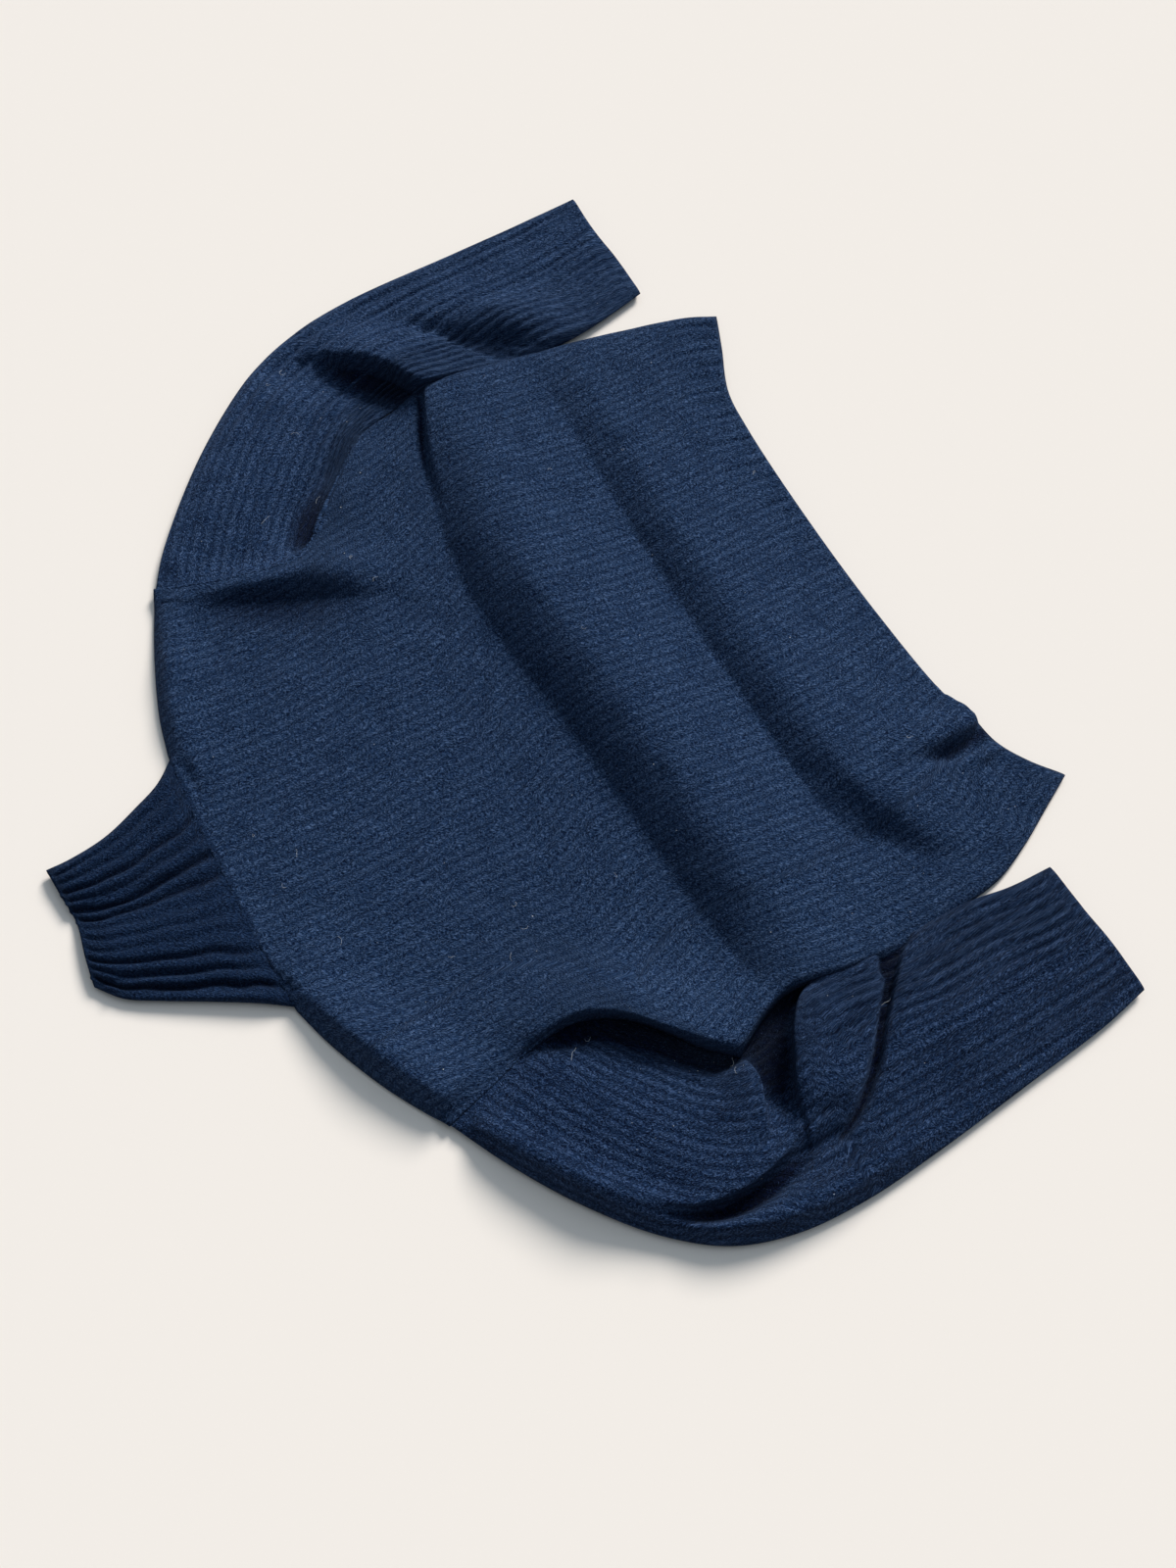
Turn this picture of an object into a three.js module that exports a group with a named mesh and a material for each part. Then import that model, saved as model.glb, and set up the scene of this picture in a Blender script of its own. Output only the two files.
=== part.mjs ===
// A wool turtleneck sweater laid flat on a table, face up, with both sleeves folded down beside the body.
// Units are millimetres. +X is the wearer's left, +Y runs from the hem to the collar, +Z is up from the table.
// The pieces are those that a knitter makes and joins: front, back, two sleeves and the collar.
import * as THREE from "three";

// Driving dimensions
const wall = 3; // one layer of the brushed knit
const seamGap = 0.3; // left between panels that lie on each other
const linkGap = 3 * seamGap; // sideways between the panels and what is linked to them
const rimHeight = 2 * wall + seamGap; // top of the front's edge where it lies on the back
const ribDepth = { body: 0.5, trim: 1.1 }; // half the difference between the crest and the groove of a rib
const ribCount = { front: 40, sleeve: 10, collar: 13 }; // ribs across the upper layer of each piece
const ribFade = 7; // how far from an edge the ribs die away
const hemRibHeight = 70; // how far the deep ribs of the hem reach up the body
const cuffRibShare = 0.22; // the same on a sleeve, as a share of its length
const body = { width: 520, height: 560 };
const sleeveSize = { armhole: 230, cuff: 114, length: 400 };
const collarSize = { neckline: 236, top: 104 };

// Outlines, seen from above. Heights are above the hem corners.
const hemLine = [
  { x: -250, y: -5 }, { x: -226, y: 13 }, { x: -200, y: 26 }, { x: -165, y: 31 }, { x: -145, y: 38 },
  { x: -60, y: 45 }, { x: 40, y: 47 }, { x: 140, y: 44 }, { x: 178, y: 39 }, { x: 218, y: 21 },
  { x: 248, y: 8 },
];
const rightSide = [
  { x: -250, y: -5 }, { x: -266, y: 25 }, { x: -282, y: 55 }, { x: -296, y: 90 }, { x: -301, y: 140 },
  { x: -303, y: 200 }, { x: -299, y: 240 }, { x: -297, y: 270 }, { x: -299, y: 300 }, { x: -304, y: 319 },
  { x: -312, y: 334 },
];
const rightArmhole = [
  { x: -312, y: 334 }, { x: -294, y: 353 }, { x: -271, y: 371 }, { x: -247, y: 393 }, { x: -232, y: 425 },
  { x: -234, y: 465 }, { x: -244, y: 505 }, { x: -253, y: 543 },
];
const leftSide = [
  { x: 248, y: 8 }, { x: 260, y: 32 }, { x: 274, y: 80 }, { x: 288, y: 135 }, { x: 302, y: 203 },
  { x: 309, y: 240 }, { x: 310, y: 266 }, { x: 303, y: 292 }, { x: 298, y: 322 },
];
const leftArmhole = [
  { x: 298, y: 322 }, { x: 284, y: 341 }, { x: 262, y: 364 }, { x: 240, y: 388 }, { x: 220, y: 412 },
  { x: 216, y: 440 }, { x: 223, y: 470 }, { x: 236, y: 505 }, { x: 251, y: 537 },
];
const rightShoulder = [{ x: -253, y: 543 }, { x: -205, y: 569 }, { x: -155, y: 589 }, { x: -119, y: 599 }];
const neckline = [
  { x: -119, y: 599 }, { x: -60, y: 600 }, { x: 0, y: 598 }, { x: 60, y: 596 }, { x: 116, y: 591 },
];
const leftShoulder = [{ x: 116, y: 591 }, { x: 150, y: 582 }, { x: 200, y: 562 }, { x: 251, y: 537 }];
const collarTop = [
  { x: -27, y: 721 }, { x: -4, y: 717 }, { x: 25, y: 711 }, { x: 50, y: 712 }, { x: 76, y: 713 },
];
const collarRightEdge = [
  { x: -119, y: 599 }, { x: -101, y: 619 }, { x: -82, y: 649 }, { x: -62, y: 682 }, { x: -46, y: 706 },
  { x: -27, y: 721 },
];
const collarLeftEdge = [
  { x: 116, y: 591 }, { x: 98, y: 608 }, { x: 88, y: 632 }, { x: 78, y: 662 }, { x: 75, y: 690 },
  { x: 76, y: 713 },
];
const rightSleeveOuter = [
  { x: -253, y: 543 }, { x: -300, y: 519 }, { x: -350, y: 489 }, { x: -398, y: 451 }, { x: -430, y: 411 },
  { x: -446, y: 366 }, { x: -451, y: 310 }, { x: -447, y: 240 }, { x: -439, y: 160 }, { x: -431, y: 85 },
  { x: -423, y: 45 },
];
const rightSleeveInner = [
  { x: -312, y: 334 }, { x: -313, y: 322 }, { x: -307, y: 300 }, { x: -301, y: 270 }, { x: -301, y: 238 },
  { x: -304, y: 200 }, { x: -303, y: 140 }, { x: -302, y: 110 }, { x: -306, y: 85 }, { x: -307, y: 50 },
];
const rightCuff = [{ x: -423, y: 45 }, { x: -385, y: 45 }, { x: -345, y: 48 }, { x: -307, y: 50 }];
const leftSleeveOuter = [
  { x: 251, y: 537 }, { x: 277, y: 517 }, { x: 321, y: 475 }, { x: 361, y: 428 }, { x: 396, y: 373 },
  { x: 412, y: 325 }, { x: 418, y: 270 }, { x: 416, y: 190 }, { x: 414, y: 120 }, { x: 413, y: 54 },
];
const leftSleeveInner = [
  { x: 298, y: 322 }, { x: 307, y: 294 }, { x: 314, y: 266 }, { x: 312, y: 238 }, { x: 306, y: 203 },
  { x: 298, y: 150 }, { x: 299, y: 110 }, { x: 297, y: 76 }, { x: 299, y: 53 },
];
const leftCuff = [{ x: 413, y: 54 }, { x: 375, y: 55 }, { x: 337, y: 53 }, { x: 299, y: 53 }];

// Folds. Each row is a crest that runs through points [x, y, height], and a negative height is a trough. It falls
// away over the left and right widths on either side of its run, and a creased one ends in a sharp foot on its left.
const frontFolds = [
  {
    name: "main ridge", left: 44, right: 60, creased: true,
    points: [
      [-306, 246, 0], [-262, 250, 13], [-200, 256, 22], [-100, 261, 25], [0, 267, 26], [60, 273, 26],
      [120, 275, 26], [170, 268, 24], [220, 252, 21], [265, 236, 15], [306, 222, 6],
    ],
  },
  {
    name: "hem ridge", left: 35, right: 56, creased: true,
    points: [
      [-266, 104, 0], [-232, 124, 8], [-185, 141, 16], [-100, 148, 19], [0, 149, 18], [100, 146, 16],
      [200, 141, 11], [262, 137, 6], [296, 134, 0],
    ],
  },
  {
    name: "lower body fullness", left: 110, right: 110,
    points: [[-230, 205, 0], [-100, 208, 5], [60, 208, 5], [230, 205, 0]],
  },
  {
    name: "hem pucker", left: 18, right: 34, creased: true,
    points: [[-173, 12, 6], [-178, 45, 12], [-184, 75, 10], [-192, 108, 0]],
  },
  {
    name: "left chest ridge", left: 30, right: 24,
    points: [
      [160, 345, 0], [172, 382, 11], [186, 413, 20], [199, 443, 24], [211, 473, 22], [226, 503, 14],
      [241, 528, 3],
    ],
  },
  {
    name: "left underarm roll", left: 16, right: 32,
    points: [[212, 428, 0], [224, 402, 4], [240, 378, 9], [260, 355, 13], [282, 334, 10], [297, 315, 3]],
  },
  {
    name: "right armhole roll", left: 44, right: 14,
    points: [
      [-238, 500, 0], [-227, 470, 6], [-220, 445, 14], [-223, 415, 19], [-240, 385, 21], [-266, 362, 19],
      [-290, 342, 15], [-304, 326, 9],
    ],
  },
  {
    name: "right side roll", left: 40, right: 14,
    points: [
      [-300, 328, 6], [-290, 300, 11], [-284, 272, 12], [-288, 240, 9], [-292, 205, 5], [-294, 180, 0],
    ],
  },
  {
    name: "right shoulder edge", left: 14, right: 40,
    points: [[-262, 512, 6], [-206, 549, 12], [-155, 569, 11], [-112, 585, 5]],
  },
  {
    name: "left shoulder edge", left: 14, right: 30,
    points: [[108, 574, 4], [150, 566, 6], [198, 546, 6], [240, 524, 3]],
  },
];
const rightSleeveFolds = [
  {
    name: "upper arm", left: 60, right: 60,
    points: [
      [-250, 500, 3], [-290, 465, 8], [-330, 430, 11], [-365, 390, 9], [-380, 350, 4], [-384, 330, 0],
    ],
  },
  {
    name: "outer roll", left: 20, right: 12,
    points: [
      [-262, 520, 4], [-295, 506, 8], [-345, 477, 11], [-389, 441, 11], [-417, 406, 9], [-431, 363, 8],
      [-435, 310, 7], [-432, 265, 4], [-426, 220, 0],
    ],
  },
  {
    name: "elbow crease", left: 13, right: 13,
    points: [[-388, 446, 0], [-402, 428, -8], [-412, 388, -13], [-407, 348, -11], [-402, 302, -3]],
  },
  {
    name: "inner hollow", left: 20, right: 16,
    points: [[-368, 326, -4], [-346, 321, -14], [-326, 313, -18], [-306, 300, -16]],
  },
  {
    name: "inner flap", left: 12, right: 38,
    points: [[-376, 312, 3], [-342, 296, 14], [-320, 285, 16], [-302, 270, 12]],
  },
  {
    name: "forearm crease", left: 12, right: 12,
    points: [[-404, 300, -5], [-373, 252, -10], [-349, 230, -11], [-325, 208, -11], [-308, 190, -6]],
  },
  {
    name: "forearm fullness", left: 40, right: 40,
    points: [[-412, 230, 0], [-388, 190, 4], [-372, 160, 5], [-352, 110, 0]],
  },
  {
    name: "armhole hollow", left: 20, right: 28,
    points: [[-234, 470, -2], [-240, 412, -9], [-267, 388, -10], [-296, 366, -9], [-314, 350, -6]],
  },
];
const leftSleeveFolds = [
  {
    name: "upper arm", left: 50, right: 50,
    points: [[258, 490, 2], [295, 450, 8], [330, 410, 9], [360, 370, 7], [372, 350, 0]],
  },
  {
    name: "armhole hollow", left: 16, right: 14,
    points: [[236, 430, -3], [250, 412, -8], [266, 394, -10], [282, 374, -9], [296, 352, 0]],
  },
  {
    name: "inner hollow", left: 16, right: 14,
    points: [[308, 276, -8], [325, 286, -13], [342, 299, -12], [360, 319, -8], [375, 336, -2]],
  },
  {
    name: "elbow roll", left: 14, right: 36,
    points: [[308, 252, 9], [319, 260, 16], [335, 270, 19], [352, 283, 18], [369, 303, 12], [384, 326, 2]],
  },
  {
    name: "inner dent", left: 10, right: 14,
    points: [[304, 184, -5], [324, 201, -8], [349, 222, -6], [378, 250, -2]],
  },
  {
    name: "forearm ridge", left: 34, right: 30, creased: true,
    points: [[300, 130, 5], [311, 142, 11], [329, 162, 12], [351, 186, 8], [381, 218, 3]],
  },
];
const collarFolds = [
  {
    name: "upper wave", left: 22, right: 26,
    points: [[-4, 724, 0], [-12, 690, 3], [-24, 645, 3], [-40, 612, 0]],
  },
  {
    name: "throat dent", left: 14, right: 18,
    points: [[34, 722, -3], [30, 680, -4], [24, 645, -2], [22, 618, 0]],
  },
  {
    name: "side wave", left: 14, right: 16,
    points: [[66, 722, 0], [68, 680, 2], [76, 640, 0]],
  },
  {
    name: "right edge roll", left: 12, right: 10,
    points: [[-62, 690, 2], [-84, 650, 4], [-104, 618, 4], [-116, 604, 2]],
  },
];

// Height of the upper layer where nothing lifts it, and how the piece rounds down at its edges
const level = { front: 7.8, hem: 7, sleeve: 10.5, cuff: 7.6, collar: 10, least: 7 };
const round = { side: 12, shoulder: 16, armhole: 14, sleeve: 20, cuff: 9, collar: 12 };
const edgeHeight = { armhole: 10, shoulderPoint: 7.6, sleeveRim: 4, neckline: 8.6 };

const clamp = (value, low, high) => Math.min(high, Math.max(low, value));
const mix = (a, b, share) => a + (b - a) * share;
const ease = (value) => {
  const v = clamp(value, 0, 1);
  return v * v * (3 - 2 * v);
};
// Height of a quarter circle that starts at an edge and levels off after a radius
const quarterRound = (distance, radius) => {
  const left = 1 - clamp(distance / radius, 0, 1);
  return Math.sqrt(1 - left * left);
};

// A smooth line through the points of a table, as a function of the share of its length
function smoothLine(points) {
  const places = points.map((p) => new THREE.Vector3(p.x, p.y, 0));
  const curve = new THREE.CatmullRomCurve3(places, false, "centripetal");
  curve.arcLengthDivisions = 400;
  return (share) => {
    const p = curve.getPointAt(clamp(share, 0, 1));
    return { x: p.x, y: p.y };
  };
}

// Several lines end to end, each given its share of the whole run
function joinedLine(parts) {
  const lines = parts.map((part) => ({ line: smoothLine(part.points), until: part.until }));
  return (share) => {
    let from = 0;
    for (const { line, until } of lines) {
      if (share <= until + 1e-9) return line((share - from) / (until - from));
      from = until;
    }
    return lines.at(-1).line(1);
  };
}

// A straight-sided line through evenly shared points, so that two pieces on one seam have the same corners
function corneredLine(points) {
  return (share) => {
    const place = clamp(share, 0, 1) * (points.length - 1);
    const i = Math.min(Math.floor(place), points.length - 2);
    return { x: mix(points[i].x, points[i + 1].x, place - i), y: mix(points[i].y, points[i + 1].y, place - i) };
  };
}

// A patch between four edges: start and end run across, first and last run along
function patchBetween(start, end, first, last) {
  const corners = [start(0), start(1), end(0), end(1)];
  return (across, along) => {
    const point = {};
    for (const key of ["x", "y"]) {
      const ruledAlong = mix(start(across)[key], end(across)[key], along);
      const ruledAcross = mix(first(along)[key], last(along)[key], across);
      const startChord = mix(corners[0][key], corners[1][key], across);
      const endChord = mix(corners[2][key], corners[3][key], across);
      point[key] = ruledAlong + ruledAcross - mix(startChord, endChord, along);
    }
    return point;
  };
}

// Sum of the folds at a point. Each crest is sampled along its run, and keeps its height in z.
const crestSteps = 32;
function crestOf(fold) {
  const places = fold.points.map(([x, y, height]) => new THREE.Vector3(x, y, height));
  return new THREE.CatmullRomCurve3(places, false, "centripetal").getSpacedPoints(crestSteps);
}
function foldHeights(folds) {
  const crests = folds.map(crestOf);
  return (p) => {
    let sum = 0;
    folds.forEach((fold, n) => {
      const crest = crests[n];
      let best = { distance: Infinity };
      for (let i = 0; i < crestSteps; i++) {
        const [a, b] = [crest[i], crest[i + 1]];
        const [dx, dy] = [b.x - a.x, b.y - a.y];
        const part = clamp(((p.x - a.x) * dx + (p.y - a.y) * dy) / (dx * dx + dy * dy), 0, 1);
        const distance = Math.hypot(p.x - a.x - part * dx, p.y - a.y - part * dy);
        if (distance < best.distance) {
          const isLeft = dx * (p.y - a.y) - dy * (p.x - a.x) > 0;
          best = { distance, isLeft, height: mix(a.z, b.z, part) };
        }
      }
      const reach = best.distance / (best.isLeft ? fold.left : fold.right);
      const creased = Math.max(0, 1 - reach ** 1.5);
      const soft = Math.exp(-1.6 * reach * reach);
      sum += best.height * (fold.creased && best.isLeft ? creased : soft);
    });
    return sum;
  };
}

// Shares from 0 to 1, even or closer together at both ends
const evenShares = (count) => Array.from({ length: count + 1 }, (_, i) => i / count);
const closerAtEnds = (count) => evenShares(count).map((share) => mix(share, ease(share), 0.5));
// The crest and groove of every rib across a piece
const ribShares = (ribs) => evenShares(2 * ribs);
const ribWave = (share, ribs) => -Math.cos(2 * Math.PI * ribs * share);

// Joins two runs of points, each with its shares of the way along, by one band of triangles
function bandBetween(triangles, runA, sharesA, runB, sharesB) {
  let [i, j] = [0, 0];
  while (i < runA.length - 1 || j < runB.length - 1) {
    if (j === runB.length - 1 || (i < runA.length - 1 && sharesA[i + 1] <= sharesB[j + 1])) {
      triangles.push([runA[i], runA[i + 1], runB[j]]);
      i++;
    } else {
      triangles.push([runA[i], runB[j + 1], runB[j]]);
      j++;
    }
  }
}

function addGrid(triangles, grid, flip) {
  for (let r = 0; r < grid.length - 1; r++) {
    for (let c = 0; c < grid[r].length - 1; c++) {
      const [a, b, d, e] = [grid[r][c], grid[r][c + 1], grid[r + 1][c], grid[r + 1][c + 1]];
      triangles.push(...(flip ? [[a, d, b], [b, d, e]] : [[a, b, d], [b, e, d]]));
    }
  }
}

function solidFrom(triangles) {
  const positions = new Float32Array(triangles.flatMap((t) => t.flatMap((p) => [p.x, p.y, p.z])));
  const geometry = new THREE.BufferGeometry();
  geometry.setAttribute("position", new THREE.BufferAttribute(positions, 3));
  geometry.computeVertexNormals();
  return geometry;
}

// A layer of cloth: an upper and a lower sheet over one patch, closed by a rim along all four edges.
// Each sheet has its own shares across, and they share those along.
function clothLayer(patch, along, upper, lower) {
  const row = (sheet, v) => sheet.across.map((u) => ({ ...patch(u, v), z: sheet.height(u, v) }));
  const top = along.map((v) => row(upper, v));
  const bottom = along.map((v) => row(lower, v));
  const triangles = [];
  addGrid(triangles, top, false);
  addGrid(triangles, bottom, true);
  const column = (grid, index) => grid.map((row) => row.at(index));
  bandBetween(triangles, bottom[0], lower.across, top[0], upper.across);
  bandBetween(triangles, top.at(-1), upper.across, bottom.at(-1), lower.across);
  bandBetween(triangles, column(top, 0), along, column(bottom, 0), along);
  bandBetween(triangles, column(bottom, -1), along, column(top, -1), along);
  return solidFrom(triangles);
}

// A flattened tube of cloth. Each ring is a list of points, with the share of the way round and a place for
// each row, that goes over the top and back underneath. The inside wall starts a little back from the seam.
const insideSetback = 0.012;
function clothTube(along, outerRing, innerRing) {
  const shares = (ring) => ring.map((point) => point.share);
  const outside = along.map((v) => outerRing.map((point) => point.at(v)));
  const inside = along.map((v) => innerRing.map((point) => point.at(Math.max(v, insideSetback))));
  const triangles = [];
  addGrid(triangles, outside, false);
  addGrid(triangles, inside, true);
  bandBetween(triangles, inside[0], shares(innerRing), outside[0], shares(outerRing));
  bandBetween(triangles, outside.at(-1), shares(outerRing), inside.at(-1), shares(innerRing));
  return solidFrom(triangles);
}

const yarn = (name, color) => new THREE.MeshStandardMaterial({ name, color, roughness: 0.95, metalness: 0 });
const navyKnit = yarn("navy brushed knit", 0x24385c);
const navyRib = yarn("navy rib", 0x1f3153);

function clothMesh(name, geometry, material) {
  const mesh = new THREE.Mesh(geometry, material);
  mesh.name = name;
  return mesh;
}

// Body outline: the side and the armhole make one edge of a panel, the shoulders and the neckline another
const underarmShare = 0.6; // how far up the panel's edge the underarm lies
const underarmBlend = 0.06; // how far below it the front's edge starts to rise
const underarmFan = 3.4; // how slowly a sleeve's rings leave the underarm
const collarShare = { from: 0.275, to: 0.725 }; // where the collar starts and ends along the panel's top
const rightEdge = joinedLine([
  { points: rightSide, until: underarmShare },
  { points: rightArmhole, until: 1 },
]);
const leftEdge = joinedLine([
  { points: leftSide, until: underarmShare },
  { points: leftArmhole, until: 1 },
]);
const topEdge = joinedLine([
  { points: rightShoulder, until: collarShare.from },
  { points: neckline, until: collarShare.to },
  { points: leftShoulder, until: 1 },
]);
const bodyPatch = patchBetween(smoothLine(hemLine), topEdge, rightEdge, leftEdge);
// Rows of points up the panels. Those beside the armhole match the ribs of the sleeve that is sewn there.
const armholeRows = ribShares(ribCount.sleeve).map((share) => mix(underarmShare, 1, share));
const rowsBelow = (count) => evenShares(count).slice(0, -1).map((share) => share * underarmShare);
const frontRows = [...rowsBelow(20), ...armholeRows];
const backRows = [...rowsBelow(8), ...armholeRows];

// Upper face of the front without its ribs
const frontFoldHeight = foldHeights(frontFolds);
function frontHeight(across, along) {
  const p = bodyPatch(across, along);
  const toSide = Math.min(across, 1 - across) * body.width;
  const toHem = along * body.height;
  const toTop = (1 - along) * body.height;
  const neckBlend = 0.02;
  const isNeck =
    ease((across - collarShare.from) / neckBlend) * ease((collarShare.to - across) / neckBlend);
  const upArmhole = clamp((along - underarmShare) / (1 - underarmShare), 0, 1);
  const armholeEdge = mix(edgeHeight.armhole, edgeHeight.shoulderPoint, upArmhole);
  const nearUnderarm = ease((along - underarmShare) / underarmBlend + 1);
  const sideEdge = mix(rimHeight, armholeEdge, nearUnderarm);
  const sideRound = mix(round.side, round.armhole, nearUnderarm);
  const topEdgeHeight = mix(rimHeight, edgeHeight.neckline, isNeck);
  const flat = mix(level.hem, level.front, ease(toHem / hemRibHeight));
  let height = flat + frontFoldHeight(p) * ease((2 * toHem) / hemRibHeight);
  height = mix(topEdgeHeight, height, quarterRound(toTop, round.shoulder));
  height = mix(sideEdge, height, quarterRound(toSide, sideRound));
  return Math.max(height, rimHeight);
}
function frontRibs(across, along) {
  const toSide = Math.min(across, 1 - across) * body.width;
  const deep = mix(ribDepth.trim, ribDepth.body, ease((along * body.height) / hemRibHeight));
  return deep * ribWave(across, ribCount.front) * ease(toSide / ribFade);
}
const underFrontShares = closerAtEnds(20);
const front = clothLayer(
  bodyPatch,
  frontRows,
  { across: ribShares(ribCount.front), height: (u, v) => frontHeight(u, v) + frontRibs(u, v) + ribDepth.body },
  { across: underFrontShares, height: (u, v) => Math.max(frontHeight(u, v), rimHeight) - wall },
);

// The back lies flat on the table under the front
const backShares = closerAtEnds(8);
const back = clothLayer(
  bodyPatch,
  backRows,
  { across: backShares, height: () => wall },
  { across: backShares, height: () => 0 },
);

// Rings of a flattened tube over one patch. The upper run has the ribs, the lower one lies on the table and is
// a little narrower.
const underInset = 3.5;
function tubeRings(patch, ribs, innerShares, heightAt, ribsAt) {
  const lowerShares = [...innerShares].reverse();
  const tuckedIn = (u, v) => mix(u, 0.5, (underInset * ease(v / 0.1)) / patch.width(v));
  const top = (u, v) => ({ ...patch.at(u, v), z: heightAt(u, v) + ribsAt(u, v) });
  const underside = (u, v) => ({ ...patch.at(tuckedIn(u, v), v), z: 0 });
  const narrower = (u, v) => mix(u, 0.5, (2 * wall) / patch.width(v));
  const roof = (u, v) => ({
    ...patch.at(narrower(u, v), v),
    z: Math.max(heightAt(narrower(u, v), v) - wall, wall + seamGap),
  });
  const floor = (u, v) => ({ ...patch.at(narrower(u, v), v), z: wall });
  const over = (place) => (u) => ({ share: u / 2, at: (v) => place(u, v) });
  const under = (place) => (u) => ({ share: 1 - u / 2, at: (v) => place(u, v) });
  const closed = (ring) => [...ring, { share: 1.001, at: ring[0].at }];
  return {
    outer: closed([...ribShares(ribs).map(over(top)), ...ribShares(ribs).reverse().map(under(underside))]),
    inner: closed([...innerShares.map(over(roof)), ...lowerShares.map(under(floor))]),
  };
}

// A sleeve runs from its armhole to its cuff, and across from its outer to its inner edge
function sleeve(side) {
  const shift = side.sign * linkGap;
  const seam = armholeRows.map((v) => side.bodyEdge(v)).reverse();
  const seamLine = corneredLine(seam.map((p) => ({ x: p.x + shift, y: p.y })));
  const linked = (points) => points.map((p, i) => (i === 0 ? { x: p.x + shift, y: p.y } : p));
  const outer = smoothLine(linked(side.outer));
  const inner = smoothLine(linked(side.inner));
  // The rings fan out round the underarm before they run down the inner edge
  const patch = patchBetween(seamLine, smoothLine(side.cuff), outer, (v) => inner(v ** underarmFan));
  const width = (v) => mix(sleeveSize.armhole, sleeveSize.cuff, ease(v * 1.6));
  const toEdge = (u, v) => Math.min(u, 1 - u) * width(v);
  const folds = foldHeights(side.folds);
  const heightAt = (u, v) => {
    const flat = mix(level.sleeve, level.cuff, ease(2.4 * v - 1.3));
    const foldsLeft = ease((1 - v) / (0.5 * cuffRibShare));
    const lifted = Math.max(flat + folds(patch(u, v)) * foldsLeft, level.least);
    const atSeam = mix(edgeHeight.shoulderPoint, edgeHeight.armhole, ease(u * 2)) - 1;
    const upper = mix(atSeam, lifted, quarterRound(v * sleeveSize.length, round.armhole));
    const edgeRound = mix(round.sleeve, round.cuff, ease(1.4 * v - 0.2));
    return mix(edgeHeight.sleeveRim, upper, quarterRound(toEdge(u, v), edgeRound));
  };
  const ribsAt = (u, v) => {
    const deep = ribDepth.trim * ease((v - 1 + 3 * cuffRibShare) / (2 * cuffRibShare));
    return deep * ribWave(u, ribCount.sleeve) * ease(toEdge(u, v) / ribFade);
  };
  const innerShares = [0, 0.2, 0.4, 0.6, 0.7, 0.8, 0.85, 0.9, 0.95, 1];
  const rings = tubeRings({ at: patch, width }, ribCount.sleeve, innerShares, heightAt, ribsAt);
  const turned = (ring) => ring.map((point) => ({ share: 1.001 - point.share, at: point.at })).reverse();
  const facing = (ring) => (side.sign < 0 ? turned(ring) : ring);
  return clothTube(evenShares(26), facing(rings.outer), facing(rings.inner));
}
const rightSleeve = sleeve({
  sign: -1,
  bodyEdge: rightEdge,
  outer: rightSleeveOuter,
  inner: rightSleeveInner,
  cuff: rightCuff,
  folds: rightSleeveFolds,
});
const leftSleeve = sleeve({
  sign: 1,
  bodyEdge: leftEdge,
  outer: leftSleeveOuter,
  inner: leftSleeveInner,
  cuff: leftCuff,
  folds: leftSleeveFolds,
});

// The collar is a tube that narrows from the neckline to its open top
function collarTube() {
  const seamPoints = ribShares(ribCount.front)
    .filter((u) => u > collarShare.from - 1e-6 && u < collarShare.to + 1e-6)
    .map((u) => topEdge(u));
  const base = corneredLine(seamPoints.map((p) => ({ x: p.x, y: p.y + linkGap })));
  const raise = (points) => points.map((p, i) => (i === 0 ? { x: p.x, y: p.y + linkGap } : p));
  const patch = patchBetween(
    base,
    smoothLine(collarTop),
    smoothLine(raise(collarRightEdge)),
    smoothLine(raise(collarLeftEdge)),
  );
  const width = (v) => mix(collarSize.neckline, collarSize.top, v);
  const toEdge = (u, v) => Math.min(u, 1 - u) * width(v);
  const folds = foldHeights(collarFolds);
  const heightAt = (u, v) => {
    const lifted = level.collar + folds(patch(u, v));
    const upper = Math.max(mix(edgeHeight.neckline, lifted, ease(v / 0.15)), level.least);
    return mix(edgeHeight.sleeveRim, upper, quarterRound(toEdge(u, v), round.collar));
  };
  const ribsAt = (u, v) => ribDepth.trim * ribWave(u, ribCount.collar) * ease(toEdge(u, v) / ribFade);
  const rings = tubeRings({ at: patch, width }, ribCount.collar, closerAtEnds(8), heightAt, ribsAt);
  return clothTube(evenShares(11), rings.outer, rings.inner);
}

const sweater = new THREE.Group();
sweater.add(
  clothMesh("front", front, navyKnit),
  clothMesh("back", back, navyKnit),
  clothMesh("sleeve_right", rightSleeve, navyKnit),
  clothMesh("sleeve_left", leftSleeve, navyKnit),
  clothMesh("collar", collarTube(), navyRib),
);

// The origin is the middle of the part's footprint, on the table
const footprint = new THREE.Box3().setFromObject(sweater).getCenter(new THREE.Vector3());
sweater.position.set(-footprint.x, -footprint.y, 0);
export default sweater;
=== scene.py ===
"""A wool turtleneck sweater laid flat on a table, face up, with both sleeves down beside the body.

Metres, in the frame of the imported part: +X is the wearer's left, +Y runs from the hem to the collar
and +Z is up from the table. Tables of a cut, a fold or a seam are in millimetres, counted from the
place midway between the hem's two corners.
"""

import bmesh
import bpy
import numpy as np
from mathutils import Matrix, Vector


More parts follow.
